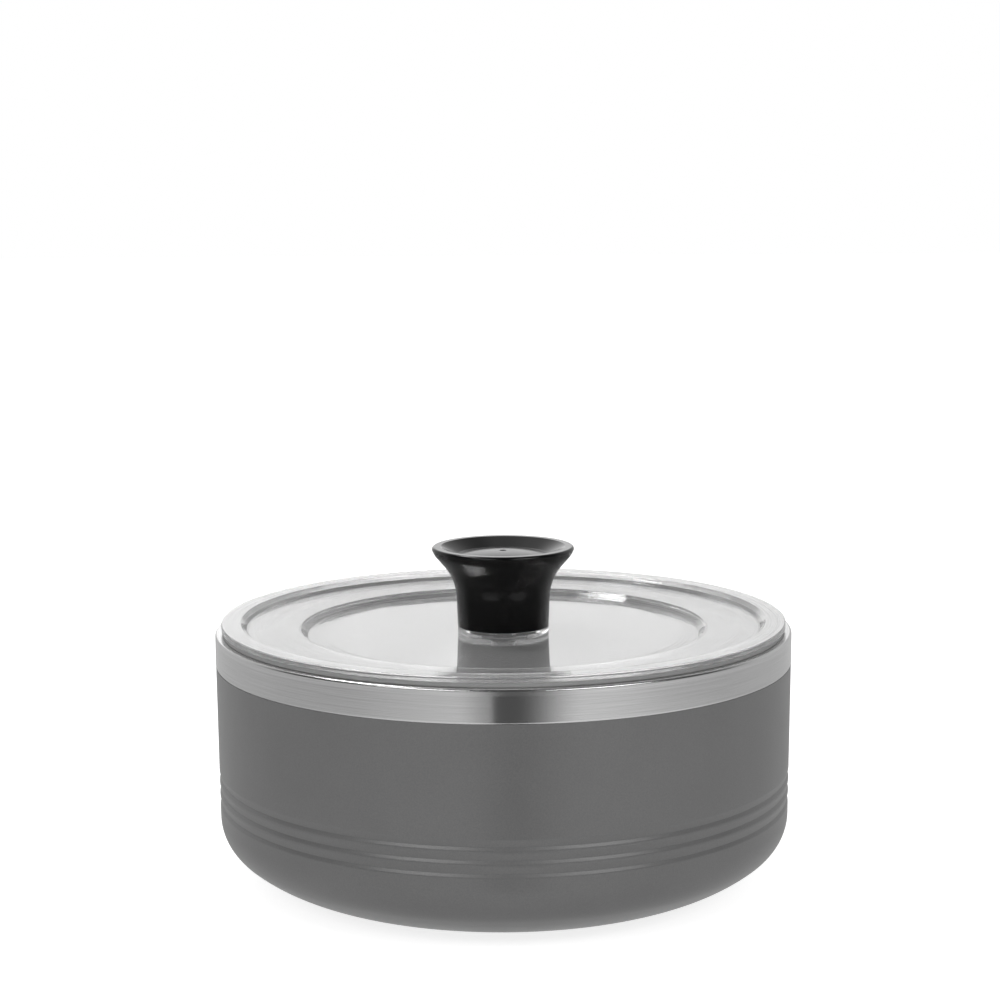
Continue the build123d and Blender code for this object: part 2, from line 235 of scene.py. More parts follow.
@dataclass(frozen=True)
class BrushedSteel(Finish):
    """Stainless steel brushed round the axis."""

    dark: float = 0.59  # Level of the brush marks
    light: float = 0.65  # Level between them
    polish: float = 0.17  # Roughness of the smoothest marks
    haze: float = 0.06  # Roughness added by the others
    mark_length: float = 24 * MM
    mark_width: float = 0.12 * MM
    relief: float = 0.002 * MM  # Depth of the marks
    stretch: float = 0.95  # Anisotropy of the gloss

    def fill(self, tree: ShaderTree) -> None:
        """Fills the node tree with marks that run round the axis on walls and on flats."""
        x, y, z = tree.split(tree.place())
        around = (x * x + y * y) ** 0.5
        across = (around + z) / self.mark_width
        marks = tree.noise(tree.join(x / self.mark_length, y / self.mark_length, across), 1.0, 4.0)
        shine = marks.step(0.3, 0.7)
        tree.surface({
            "Base Color": tree.blend(grey(self.dark), grey(self.light), shine),
            "Metallic": 1.0,
            "Roughness": self.polish + self.haze * (1.0 - shine),
            "Anisotropic": self.stretch,
            "Anisotropic Rotation": 0.25,
            "Normal": tree.bump(marks, self.relief),
        })


@dataclass(frozen=True)
class PowderCoat(Finish):
    """Grey baked coat with a fine peel."""

    level: float = 0.108  # Level of the coat's colour
    mottle: float = 0.12  # Share by which the colour varies
    gloss: float = 0.6  # Level of its gloss
    roughness: float = 0.33
    drift: float = 0.12  # Amount by which the roughness drifts
    grain: float = 0.42 * MM  # Size of the peel's grains
    patch: float = 25.2 * MM  # Size of the patches over which it drifts
    relief: float = 0.01 * MM  # Depth of the peel

    def fill(self, tree: ShaderTree) -> None:
        """Fills the node tree with a fine peel and a faint mottle."""
        place = tree.place()
        peel = tree.noise(place, self.grain)
        patches = tree.noise(place, self.patch)
        share = (peel * 0.7 + patches * 0.3).step(0.2, 0.8)
        low = self.level * (1 - self.mottle)
        high = self.level * (1 + self.mottle)
        tree.surface({
            "Base Color": tree.blend(grey(low), grey(high), share),
            "Roughness": self.roughness + self.drift * (patches - 0.5),
            "Specular IOR Level": self.gloss,
            "Normal": tree.bump(peel, self.relief),
        })


@dataclass(frozen=True)
class ClearPlastic(Finish):
    """Clear moulded plastic with a trace of haze."""

    index: float = 1.54  # Refractive index
    clarity: float = 0.9  # Share of the light that goes through unscattered
    haze: float = 0.035  # Roughness where the surface is most worn
    patch: float = 18 * MM  # Size of the worn patches
    ring_start: float = 58 * MM  # Radius beyond which the moulding left faint rings
    ring_length: float = 60 * MM  # Length over which a ring fades
    ring_width: float = 0.6 * MM
    relief: float = 0.05 * MM  # Depth of the rings

    def fill(self, tree: ShaderTree) -> None:
        """Fills the node tree with a clear body, faint moulding rings and a gloss that drifts a little."""
        place = tree.place()
        x, y, z = tree.split(place)
        around = (x * x + y * y) ** 0.5
        across = (around + z) / self.ring_width
        rings = tree.noise(tree.join(x / self.ring_length, y / self.ring_length, across), 1.0)
        outside = around.step(self.ring_start, self.ring_start + 2 * MM)
        wear = tree.noise(place, self.patch, 5.0)
        tree.surface({
            "Base Color": tree.blend(grey(0.975), grey(0.99), wear),
            "Roughness": self.haze * wear.step(0.35, 0.75),
            "IOR": self.index,
            "Transmission Weight": self.clarity,
            "Normal": tree.bump(rings * outside, self.relief),
        })


@dataclass(frozen=True)
class Silicone(Finish):
    """Milky silicone rubber, darkened on the exposed lip as painted shade and kept paler below as painted
    light.
    """

    level: float = 0.85  # Level of its colour
    lip_shade_share: float = 0.5  # Share of that level on the exposed lip, as painted shade
    lip_foot: float = 83 * MM  # Height above which the painted shade darkens the lip
    lip_blend: float = 0.3 * MM  # Half the height over which the painted shade gives way to the paler sleeve
    index: float = 1.41  # Refractive index
    clarity: float = 0.5  # Share of the light that goes through
    satin: float = 0.38  # Roughness between the grains
    matt: float = 0.18  # Roughness added by the grains
    grain: float = 0.6 * MM  # Size of the moulded grain
    relief: float = 0.01 * MM  # Depth of the grain

    def fill(self, tree: ShaderTree) -> None:
        """Fills the node tree with a milky body, darkened at the lip as painted shade and paler below as
        painted light, and a matt grain.
        """
        place = tree.place()
        grain = tree.noise(place, self.grain)
        height = tree.split(place)[2]
        # Painted shade on the lip above its foot; the paler level below is painted light on the sleeve.
        painted_lip_shade = height.step(self.lip_foot - self.lip_blend, self.lip_foot + self.lip_blend)
        share = painted_lip_shade - 0.06 * grain
        tree.surface({
            "Base Color": tree.blend(grey(self.level), grey(self.level * self.lip_shade_share), share),
            "Roughness": self.satin + self.matt * grain,
            "IOR": self.index,
            "Transmission Weight": self.clarity,
            "Normal": tree.bump(grain, self.relief),
        })


@dataclass(frozen=True)
class BlackPlastic(Finish):
    """Black moulded plastic with a satin grain."""

    level: float = 0.0012  # Level of its colour
    gloss: float = 0.36  # Level of its gloss
    satin: float = 0.12  # Roughness where it is least worn
    worn: float = 0.1  # Roughness added by handling
    patch: float = 9 * MM  # Size of the worn patches
    grain: float = 0.3 * MM  # Size of the grain
    relief: float = 0.006 * MM  # Depth of the grain

    def fill(self, tree: ShaderTree) -> None:
        """Fills the node tree with a fine grain and a little handling wear."""
        place = tree.place()
        grain = tree.noise(place, self.grain)
        wear = tree.noise(place, self.patch, 4.0)
        tree.surface({
            "Base Color": tree.blend(grey(self.level * 0.8), grey(self.level * 1.3), grain),
            "Roughness": self.satin + self.worn * wear,
            "Specular IOR Level": self.gloss,
            "Normal": tree.bump(grain, self.relief),
        })


@dataclass(frozen=True)
class TurnedMetal(Finish):
    """Small metal piece with fine turning marks."""

    dark: Colour = grey(0.4)  # Colour in the marks
    light: Colour = grey(0.6)  # Colour between them
    polish: float = 0.22  # Roughness of the smoothest marks
    haze: float = 0.25  # Roughness added by tarnish
    patch: float = 3 * MM  # Size of the tarnished patches
    mark: float = 0.12 * MM  # Width of a mark
    relief: float = 0.004 * MM  # Depth of a mark

    def fill(self, tree: ShaderTree) -> None:
        """Fills the node tree with marks across the axis and a little tarnish."""
        place = tree.place()
        x, y, z = tree.split(place)
        marks = tree.noise(tree.join(x / MM, y / MM, z / self.mark), 1.0)
        tarnish = tree.noise(place, self.patch, 4.0)
        tree.surface({
            "Base Color": tree.blend(self.dark, self.light, marks * 0.5 + tarnish * 0.5),
            "Metallic": 1.0,
            "Roughness": self.polish + self.haze * tarnish,
            "Normal": tree.bump(marks, self.relief),
        })


@dataclass(frozen=True)
class PressedPowder(Finish):
    """Dark pressed pellet."""

    level: float = 0.09  # Level of its colour
    matt: float = 0.75  # Roughness between the grains
    grain: float = 0.25 * MM  # Size of its grains
    relief: float = 0.04 * MM  # Depth of the grain

    def fill(self, tree: ShaderTree) -> None:
        """Fills the node tree with a coarse matt grain."""
        grain = tree.noise(tree.place(), self.grain, 4.0)
        tree.surface({
            "Base Color": tree.blend(grey(self.level * 0.6), grey(self.level * 1.4), grain),
            "Roughness": self.matt + 0.2 * grain,
            "Normal": tree.bump(grain, self.relief),
        })


STEEL = BrushedSteel("brushed_steel", Slot.BRUSHED_STEEL)
LINER = BrushedSteel("satin_steel", Slot.BRUSHED_STEEL, dark=0.62, light=0.7, polish=0.2, stretch=0.5)
COAT = PowderCoat("grey_coat", Slot.GREY_COAT)
CLEAR = ClearPlastic("clear_plastic", Slot.CLEAR_PLASTIC)
SEAL = Silicone("milky_silicone", Slot.SILICONE)
BLACK = BlackPlastic("black_plastic", Slot.BLACK_PLASTIC)
PELLET = PressedPowder("pressed_getter", Slot.GETTER)
SCREW = TurnedMetal("screw_steel", Slot.SCREW_STEEL)
BRASS = TurnedMetal("turned_brass", Slot.BRASS, (0.42, 0.27, 0.09, 1.0), (0.66, 0.46, 0.17, 1.0))
BRAZE = TurnedMetal("dull_braze", Slot.BRAZE, (0.3, 0.29, 0.26, 1.0), (0.5, 0.49, 0.45, 1.0), 0.4)


@dataclass(frozen=True)
class Corner:
    """Corner of a half section."""

    radius: float  # Distance from the axis
    height: float  # Height above the floor
    fillet: float = 0.0  # Radius that rounds the corner

    @property
    def point(self) -> Vector:
        """The corner on the XZ plane."""
        return Vector((self.radius, 0.0, self.height))

    def reach(self, before: Vector, after: Vector) -> float:
        """Distance from the corner to the ends of the arc that rounds it between its neighbours."""
        if self.fillet == 0.0:
            return 0.0
        return self.fillet / math.tan((before - self.point).angle(after - self.point) / 2)


class Lathe:
    """Draws a half section on the XZ plane with bmesh operators and turns it about the Z axis."""

    CHORD_ERROR = 0.004 * MM
    GUARD = 0.06 * MM
    WELD = 0.0005 * MM
    LEAST_STEPS = 3

    def __init__(self, corners: Sequence[Corner]) -> None:
        """Draws the section.

        Args:
            corners: Corners in order round the section, which closes itself.
        """
        self.mesh = bmesh.new()
        self.tip: bmesh.types.BMVert | None = None
        points = [corner.point for corner in corners]
        neighbours = list(zip(points[-1:] + points[:-1], points[1:] + points[:1]))
        reaches = [corner.reach(*pair) for corner, pair in zip(corners, neighbours)]
        used = list(zip(reaches[-1:] + reaches[:-1], reaches[1:] + reaches[:1]))
        for corner, pair, taken in zip(corners, neighbours, used):
            self._turn_corner(corner, *pair, *taken)
        self.mesh.verts.ensure_lookup_table()
        self._draw_to(self.mesh.verts[0].co.copy())

    def _draw_to(self, point: Vector) -> None:
        """Draws a straight edge from the tip, except along the axis."""
        if self.tip is None:
            self.tip = self.mesh.verts.new(point)
            return
        if (self.tip.co - point).length < self.WELD:
            return
        if max(self.tip.co.x, point.x) < self.WELD:
            self.tip = self.mesh.verts.new(point)
            return
        self.tip = bmesh.ops.extrude_vert_indiv(self.mesh, verts=[self.tip])["verts"][0]
        self.tip.co = point

    def _turn_corner(
        self, corner: Corner, before: Vector, after: Vector, used_before: float, used_after: float
    ) -> None:
        """Draws up to a corner and round it, with guards on straights that are long enough.

        Args:
            corner: Corner to draw.
            before: Point of the corner before it.
            after: Point of the corner after it.
            used_before: Length of the side before it that the arc at its other end takes up.
            used_after: The same on the side after it.
        """
        point = corner.point
        if corner.fillet == 0.0:
            self._draw_to(point)
            return
        back = (before - point).normalized()
        ahead = (after - point).normalized()
        half = back.angle(ahead) / 2
        reach = corner.fillet / math.tan(half)
        centre = point + (back + ahead).normalized() * (corner.fillet / math.sin(half))
        start = point + back * reach
        end = point + ahead * reach
        sweep = math.pi - 2 * half
        way = math.copysign(1.0, (start - centre).cross(end - centre).y)
        chord = 2 * math.acos(1 - min(self.CHORD_ERROR / corner.fillet, 0.5))
        steps = max(self.LEAST_STEPS, math.ceil(sweep / chord))
        if (before - start).length - used_before > 2 * self.GUARD:
            self._draw_to(start + back * self.GUARD)
        self._draw_to(start)
        spun = bmesh.ops.spin(
            self.mesh, geom=[self.tip], cent=centre, axis=(0, 1, 0), angle=way * sweep, steps=steps
        )
        self.tip = next(item for item in spun["geom_last"] if isinstance(item, bmesh.types.BMVert))
        if (after - end).length - used_after > 2 * self.GUARD:
            self._draw_to(end + ahead * self.GUARD)

    def turn(self, segments: int) -> bmesh.types.BMesh:
        """Turns the section through a full circle.

        Args:
            segments: Number of faces round the circle.

        Returns:
            The closed mesh, with its faces pointing outwards.
        """
        section = self.mesh.verts[:] + self.mesh.edges[:]
        circle = {"cent": (0, 0, 0), "axis": (0, 0, 1), "angle": math.tau}
        bmesh.ops.spin(self.mesh, geom=section, steps=segments, use_merge=True, **circle)
        bmesh.ops.remove_doubles(self.mesh, verts=self.mesh.verts[:], dist=self.WELD)
        bmesh.ops.recalc_face_normals(self.mesh, faces=self.mesh.faces[:])
        return self.mesh


@dataclass(frozen=True)
class Extent:
    """Size of a turned node of the frame."""

    radius: float  # Largest radius
    foot: float  # Lowest height
    top: float  # Highest height

    @classmethod
    def of(cls, node: str) -> "Extent":
        """Size of a node of the frame."""
        low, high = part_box(node)
        return cls(high.x, low.z, high.z)


def add_piece(
    name: str, mesh: bmesh.types.BMesh, finish: Finish, body: Body, *nodes: str
) -> bpy.types.Object:
    """Makes a piece of a finished mesh and ties it to the frame.

    Args:
        name: Name of the piece.
        mesh: Its mesh, which is used up.
        finish: Its finish.
        body: Body that it rides on.
        nodes: Nodes of the frame that it stands for.

    Returns:
        The new piece.
    """
    data = bpy.data.meshes.new(name)
    mesh.to_mesh(data)
    mesh.free()
    data.shade_smooth()
    data.set_sharp_from_angle(angle=SHARP_ANGLE)
    data.materials.append(finish.material())
    piece = bpy.data.objects.new(name, data)
    bpy.context.scene.collection.objects.link(piece)
    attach(piece, body.value)
    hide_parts(*nodes)
    log.info("%s: %d faces in %s", name, len(data.polygons), finish.slot.value)
    return piece


def dress_node(frame: dict[str, Any], node: str, finish: Finish) -> None:
    """Gives a node of the frame that stays in view its finish.

    Args:
        frame: The loaded frame.
        node: Name of the node.
        finish: Its finish.
    """
    data = frame["nodes"][node].data
    data.materials.clear()
    data.materials.append(finish.material())
    log.info("%s: kept from the frame in %s", node, finish.slot.value)


@dataclass(frozen=True)
class BowlWall:
    """Outer face of the bowl's wall, from which every layer is set in."""

    rim_radius: float  # Radius at the rim and down the bare band
    height: float  # Height of the rim
    underside: float  # Height of the flat base
    coat_top: float  # Height at which the band ends and the coated wall starts
    band_step: float = 0.22 * MM  # Distance by which the band stands out from that wall
    band_slope: float = 0.5 * MM  # Height of the slope between them
    draft: float = math.radians(0.55)  # Angle by which the wall narrows downwards
    side_bend: float = 15 * MM  # Radius of the bend beside the wall
    base_bend: float = 43 * MM  # Radius of the bend beside the base
    split: float = math.radians(50)  # Turn at which one bend gives way to the other

    @staticmethod
    def facing(turn: float) -> Vector:
        """Outward direction of the wall after it has turned in, a quarter turn being straight down."""
        return Vector((math.cos(turn), 0.0, -math.sin(turn)))

    @property
    def foot(self) -> Vector:
        """Place at which the straight wall ends and the bend starts."""
        rise = self.base_bend - (self.base_bend - self.side_bend) * math.sin(self.split)
        height = self.underside + rise - self.side_bend * math.sin(self.draft)
        radius = self.rim_radius - self.band_step - (self.coat_top - height) * math.tan(self.draft)
        return Vector((radius, 0.0, height))

    @property
    def side_centre(self) -> Vector:
        """Centre of the bend beside the wall."""
        return self.foot - self.facing(self.draft) * self.side_bend

    @property
    def base_centre(self) -> Vector:
        """Centre of the bend beside the base."""
        return self.side_centre - self.facing(self.split) * (self.base_bend - self.side_bend)

    def side(self, height: float, inset: float, fillet: float = 0.0) -> Corner:
        """Corner at a height on the straight wall, for a layer that is set in from the outer face."""
        start = self.side_centre + self.facing(self.draft) * (self.side_bend - inset)
        return Corner(start.x + (height - start.z) * math.tan(self.draft), height, fillet)

    def bend(self, inset: float) -> list[Corner]:
        """Corners of the two bends, downwards.

        Args:
            inset: Distance of the layer inside the outer face.

        Returns:
            The corners, rounded by the bends' radii.
        """
        corners = []
        for centre, radius, start, end in (
            (self.side_centre, self.side_bend - inset, self.draft, self.split),
            (self.base_centre, self.base_bend - inset, self.split, math.pi / 2),
        ):
            point = centre + self.facing((start + end) / 2) * (radius / math.cos((end - start) / 2))
            corners.append(Corner(point.x, point.z, radius))
        return corners


@dataclass(frozen=True)
class Grooves:
    """Rolled grooves above the bend."""

    count: int = 3
    pitch: float = 4.15 * MM  # Distance from one to the next
    depth: float = 0.55 * MM
    upper: float = 2.3 * MM  # Height of its long upper slope
    lower: float = 1.15 * MM  # Height of its lower flank, if it ran straight to the wall
    land: float = 3.9 * MM  # Plain height between the bend and the lowest groove
    edge: float = 2.0 * MM  # Radius of its upper edge
    root: float = 0.3 * MM  # Radius of its root
    ease: float = 1.2 * MM  # Radius with which the lower flank runs out

    def corners(self, wall: BowlWall, inset: float) -> list[Corner]:
        """Corners of all grooves, downwards.

        Args:
            wall: Wall that they are rolled into.
            inset: Distance of the layer inside the outer face.

        Returns:
            The corners.
        """
        corners = []
        for index in reversed(range(self.count)):
            bottom = wall.foot.z + self.land + index * self.pitch
            root = bottom + self.lower
            corners.append(wall.side(root + self.upper, inset, self.edge))
            corners.append(Corner(wall.side(root, inset).radius - self.depth, root, self.root))
            corners.append(wall.side(bottom, inset, self.ease))
        return corners


@dataclass
class SteelBowl:
    """Double-walled bowl: shell, coat, liner and base cover."""

    wall: BowlWall
    shell: Extent
    cover: Extent
    grooves: Grooves = field(default_factory=Grooves)
    sheet: float = 0.6 * MM  # Thickness of the steel
    vacuum: float = 5.8 * MM  # Gap between the walls
    coat_seat: float = 0.03 * MM  # Gap under the coat
    coat_film: float = 0.12 * MM  # Thickness of the coat
    coat_margin: float = 0.3 * MM  # Gap between the coat's end and the base cover
    band_edge: float = 0.3 * MM  # Radius of the band's lower edge
    rim_turn: float = 0.7 * MM  # Radius of the rim's outer edge
    mouth_turn: float = 1.5 * MM  # Radius of the mouth's edge
    foot_width: float = 12.2 * MM  # Width of the ring that the bowl stands on
    panel_rise: float = 0.8 * MM  # Height of the panel inside that ring
    panel_run: float = 2.5 * MM  # Width of the slope up to the panel
    dimple_run: float = 3.5 * MM  # Width of the slope in the shell's base
    dimple_margin: float = 1.5 * MM  # Distance of that slope outside the ring
    dimple_rise: float = 2.4 * MM  # Height of the raised middle of the shell's base
    port: float = 1.0 * MM  # Radius of the port in the shell's base
    segments: int = 288  # Number of faces round each piece

    @classmethod
    def from_frame(cls) -> "SteelBowl":
        """Takes the bowl's main sizes from the frame."""
        liner = Extent.of("inner_bowl")
        shell = Extent.of("outer_shell")
        coat = Extent.of("powder_coat")
        wall = BowlWall(liner.radius, liner.top, shell.foot, coat.top)
        return cls(wall, shell, Extent.of("base_cover"))

    @property
    def liner_inset(self) -> float:
        """Distance of the liner's inner face inside the shell's outer face."""
        return self.sheet + self.vacuum + self.sheet

    @property
    def mouth_radius(self) -> float:
        """Radius of the liner's mouth."""
        return self.wall.side(self.wall.height - self.mouth_turn, self.liner_inset).radius

    def build(self) -> None:
        """Builds the four pieces of the bowl."""
        pieces = (
            ("outer_wall", self.shell_section(), STEEL, "outer_shell"),
            ("grey_coat", self.coat_section(), COAT, "powder_coat"),
            ("steel_liner", self.liner_section(), LINER, "inner_bowl"),
            ("base_disc", self.cover_section(), STEEL, "base_cover"),
        )
        for name, section, finish, node in pieces:
            add_piece(name, Lathe(section).turn(self.segments), finish, Body.BOWL, node)

    def shell_section(self) -> list[Corner]:
        """Corners of the outer shell, which is raised round its port."""
        ring = self.cover.radius - self.foot_width
        slope_foot = ring + self.dimple_margin
        band_foot = self.wall.coat_top + self.wall.band_slope
        faces = []
        for inset in (0.0, self.sheet):
            low = self.wall.underside + inset
            high = low + self.dimple_rise
            faces.append([
                Corner(self.wall.rim_radius - inset, self.shell.top),
                Corner(self.wall.rim_radius - inset, band_foot, self.band_edge),
                self.wall.side(self.wall.coat_top, inset),
                *self.grooves.corners(self.wall, inset),
                *self.wall.bend(inset),
                Corner(slope_foot, low, self.mouth_turn),
                Corner(slope_foot - self.dimple_run, high, self.mouth_turn),
                Corner(self.port, high),
            ])
        return faces[0] + faces[1][::-1]

    def coat_section(self) -> list[Corner]:
        """Corners of the coat, a thin skin with soft edges."""
        soft = self.coat_film * 0.4
        end = self.cover.radius + self.coat_margin
        faces = []
        for inset in (-self.coat_seat - self.coat_film, -self.coat_seat):
            faces.append([
                self.wall.side(self.wall.coat_top, inset, soft),
                *self.grooves.corners(self.wall, inset),
                *self.wall.bend(inset),
                Corner(end, self.wall.underside + inset, soft),
            ])
        return faces[0] + faces[1][::-1]

    def liner_section(self) -> list[Corner]:
        """Corners of the liner, from the foot of its turned-down rim to the middle of its floor."""
        faces = []
        for depth in (0.0, self.sheet):
            inset = self.liner_inset - depth
            top = self.wall.height - depth
            edge = self.wall.rim_radius - depth
            faces.append([
                Corner(edge, self.shell.top),
                Corner(edge, top, self.rim_turn - depth),
                self.wall.side(top, inset, self.mouth_turn - depth),
                *self.wall.bend(inset),
                Corner(0.0, self.wall.underside + inset),
            ])
        return faces[0] + faces[1][::-1]

    def cover_section(self) -> list[Corner]:
        """Corners of the base cover: a ring to stand on round a raised panel."""
        ring = self.cover.radius - self.foot_width
        panel = ring - self.panel_run
        thick = self.sheet
        soft = self.sheet * 0.4
        return [
            Corner(0.0, self.panel_rise),
            Corner(panel, self.panel_rise, self.mouth_turn),
            Corner(ring, 0.0, self.mouth_turn),
            Corner(self.cover.radius, 0.0, soft),
            Corner(self.cover.radius, thick),
            Corner(ring, thick, self.mouth_turn),
            Corner(panel, thick + self.panel_rise, self.mouth_turn),
            Corner(0.0, thick + self.panel_rise),
        ]


@dataclass
class ClearLid:
    """Clear lid with its silicone gasket."""

    plate: Extent
    gasket: Extent
    rim_height: float
    mouth_radius: float
    flange: float = 1.75 * MM  # Thickness of the outer ring
    flange_width: float = 6.4 * MM  # Width of the outer ring
    ledge_drop: float = 2.25 * MM  # Drop from the ring to the ledge
    ledge_run: float = 2.0 * MM  # Width of the slope between them
    ledge_width: float = 17.7 * MM  # Width of the ledge
    ledge_fall: float = 0.5 * MM  # Fall of the ledge towards the middle
    step_drop: float = 2.3 * MM  # Drop from the ledge to the disc
    step_run: float = 2.35 * MM  # Width of the step
    thickness: float = 1.6 * MM  # Thickness of the plate
    bend: float = 0.35 * MM  # Radius of the plate's bends
    edge: float = 0.4 * MM  # Radius of the outer edge
    skirt_gap: float = 1.8 * MM  # Gap between the skirt and the mouth
    skirt: float = 1.8 * MM  # Thickness of the skirt
    bead: float = 0.5 * MM  # Depth of the bead at the skirt's foot
    bead_height: float = 1.5 * MM
    seat_radius: float = 15.15 * MM  # Radius of the seat under the knob
    seat_rise: float = 2.05 * MM
    seat_web: float = 2.2 * MM  # Thickness of the seat
    counterbore: float = 8.0 * MM  # Radius of the hollow under the seat
    screw_hole: float = 2.75 * MM  # Radius of the hole for the screw
    air: float = 0.02 * MM  # Film of air between pieces that touch
    lip: float = 1.45 * MM  # Thickness of the gasket's outer lip
    lip_width: float = 2.0 * MM
    sleeve: float = 0.8 * MM  # Thickness of the gasket's sleeve
    fin_gap: float = 0.3 * MM  # Gap between the gasket's fins and the mouth
    fin_count: int = 2
    fin_pitch: float = 1.7 * MM
    fin: float = 0.8 * MM  # Height of a fin at its root
    soft: float = 0.12 * MM  # Radius of the gasket's edges
    segments: int = 288  # Number of faces round each piece

    @classmethod
    def from_frame(cls, bowl: SteelBowl) -> "ClearLid":
        """Takes the lid's main sizes from the frame and from the bowl that it closes."""
        return cls(Extent.of("lid_plate"), Extent.of("lid_gasket"), bowl.wall.height, bowl.mouth_radius)

    @property
    def skirt_radius(self) -> float:
        """Outer radius of the skirt."""
        return self.mouth_radius - self.skirt_gap

    def build(self) -> None:
        """Builds the plate and its gasket."""
        plate = Lathe(self.plate_section()).turn(self.segments)
        add_piece("clear_lid", plate, CLEAR, Body.LID, "lid_plate")
        gasket = Lathe(self.gasket_section()).turn(self.segments)
        add_piece("silicone_ring", gasket, SEAL, Body.LID, "lid_gasket")

    def plate_section(self) -> list[Corner]:
        """Corners of the plate, from the screw's hole out over the top and back underneath."""
        top = self.plate.top
        rim = self.plate.radius
        foot = self.plate.foot
        under = top - self.flange
        wall = rim - self.flange_width
        ledge = wall - self.ledge_run
        ledge_top = top - self.ledge_drop
        step = ledge - self.ledge_width
        step_top = ledge_top - self.ledge_fall
        disc = step - self.step_run
        disc_top = step_top - self.step_drop
        seat_top = disc_top + self.seat_rise - self.air
        shift = self.thickness * math.tan(math.atan2(self.step_drop, self.step_run) / 2)
        skirt_inside = self.skirt_radius - self.skirt
        bead_radius = self.skirt_radius + self.bead
        bead_top = foot + self.bead_height
        return [
            Corner(self.screw_hole, seat_top, self.soft),
            Corner(self.seat_radius, seat_top, self.soft),
            Corner(self.seat_radius, disc_top, self.soft),
            Corner(disc, disc_top, self.bend),
            Corner(step, step_top, self.bend),
            Corner(ledge, ledge_top, self.bend),
            Corner(wall, top, self.bend),
            Corner(rim, top, self.edge),
            Corner(rim, under, self.soft),
            Corner(self.skirt_radius, under, self.soft),
            Corner(self.skirt_radius, bead_top, self.soft),
            Corner(bead_radius, bead_top - self.bead, self.soft),
            Corner(bead_radius, foot, self.soft),
            Corner(skirt_inside, foot, self.edge),
            Corner(skirt_inside, ledge_top - self.thickness, self.bend),
            Corner(step + shift, step_top - self.thickness, self.bend),
            Corner(disc + shift, disc_top - self.thickness, self.bend),
            Corner(self.counterbore, disc_top - self.thickness, self.soft),
            Corner(self.counterbore, seat_top + self.air - self.seat_web, self.soft),
            Corner(self.screw_hole, seat_top + self.air - self.seat_web, self.soft),
        ]

    def gasket_section(self) -> list[Corner]:
        """Corners of the gasket: a ring on the rim with an outer lip, and a sleeve with fins."""
        top = self.gasket.top - self.air
        outer = self.gasket.radius
        lip_root = outer - self.lip_width
        inner = self.skirt_radius + self.soft
        sleeve = inner + self.sleeve
        seat = self.rim_height + self.air
        corners = [Corner(inner, self.gasket.foot, self.soft), Corner(sleeve, self.gasket.foot, self.soft)]
        for index in range(self.fin_count):
            low = self.gasket.foot + self.fin_pitch * (index + 0.5)
            corners.append(Corner(sleeve, low, self.soft))
            corners.append(Corner(self.mouth_radius - self.fin_gap, low + self.fin / 2, self.soft / 2))
            corners.append(Corner(sleeve, low + self.fin, self.soft))
        return corners + [
            Corner(sleeve, seat, self.soft),
            Corner(lip_root, seat, self.soft),
            Corner(lip_root, top - self.lip, self.soft),
            Corner(outer, top - self.lip, self.soft * 2),
            Corner(outer, top, self.soft * 2),
            Corner(inner, top, self.soft),
        ]


@dataclass
class FlaredKnob:
    """Black knob that flares to a lipped rim with a dished top."""

    body: Extent  # Size of the knob
    foot_radius: float = 15.15 * MM
    waist_radius: float = 15.8 * MM  # Radius where the flare starts
    waist_height: float = 15.85 * MM  # Height of the stem up to the flare
    rim_radius: float = 24.15 * MM  # Radius of the rim's corner before it is rounded
    lip: float = 2.9 * MM  # Height of the lip
    lip_taper: float = 1.4 * MM  # Distance by which the lip narrows downwards
    lip_bend: float = 6.5 * MM  # Radius with which the lip turns into the flare
    flare_bend: float = 17.5 * MM  # Radius with which the stem turns into the flare
    edge: float = 0.9 * MM  # Radius of the rim's edge
    foot_edge: float = 0.3 * MM
    dish_edge: float = 0.5 * MM
    rim_width: float = 3.45 * MM  # Width of the rim, measured from its corner
    dish: float = 2.9 * MM  # Depth of the dish
    dish_run: float = 5.6 * MM  # Width of its slope
    dome_rise: float = 1.4 * MM  # Rise of the dome in the dish
    dome_ease: float = 0.84  # Share of the dome's sphere with which its crown is rounded
    gate_radius: float = 1.1 * MM  # Radius of the moulding mark on the dome
    gate_depth: float = 0.9 * MM  # Depth of that mark
    gate_edge: float = 0.07 * MM  # Radius of the mark's edges
    pocket_radius: float = 3.55 * MM  # Radius of the pocket for the insert
    pocket_depth: float = 14 * MM
    segments: int = 192  # Number of faces round the knob

    @classmethod
    def from_frame(cls) -> "FlaredKnob":
        """Takes the knob's main sizes from the frame."""
        return cls(Extent.of("knob"))

    def build(self) -> None:
        """Builds the knob."""
        add_piece("black_knob", Lathe(self.section()).turn(self.segments), BLACK, Body.LID, "knob")

    def section(self) -> list[Corner]:
        """Corners of the knob, from its pocket out over the flare to the mark in the middle of its top."""
        foot = self.body.foot
        top = self.body.top
        rim = self.rim_radius
        dish_radius = rim - self.rim_width
        dome = dish_radius - self.dish_run
        dome_foot = top - self.dish
        crown = dome_foot + self.dome_rise
        slope = 2 * self.dome_rise / dome
        sphere = (dome ** 2 + self.dome_rise ** 2) / (2 * self.dome_rise)
        return [
            Corner(0.0, foot + self.pocket_depth),
            Corner(self.pocket_radius, foot + self.pocket_depth, self.dish_edge),
            Corner(self.pocket_radius, foot, self.dish_edge),
            Corner(self.foot_radius, foot, self.foot_edge),
            Corner(self.waist_radius, foot + self.waist_height, self.flare_bend),
            Corner(rim - self.lip_taper, top - self.lip, self.lip_bend),
            Corner(rim, top, self.edge),
            Corner(dish_radius, top, self.dish_edge),
            Corner(dome, dome_foot, self.dish_edge),
            Corner(dome / 2, dome_foot + slope * dome / 2, sphere * self.dome_ease),
            Corner(self.gate_radius, crown, self.gate_edge),
            Corner(self.gate_radius, crown - self.gate_depth, self.gate_edge),
            Corner(0.0, crown - self.gate_depth),
        ]


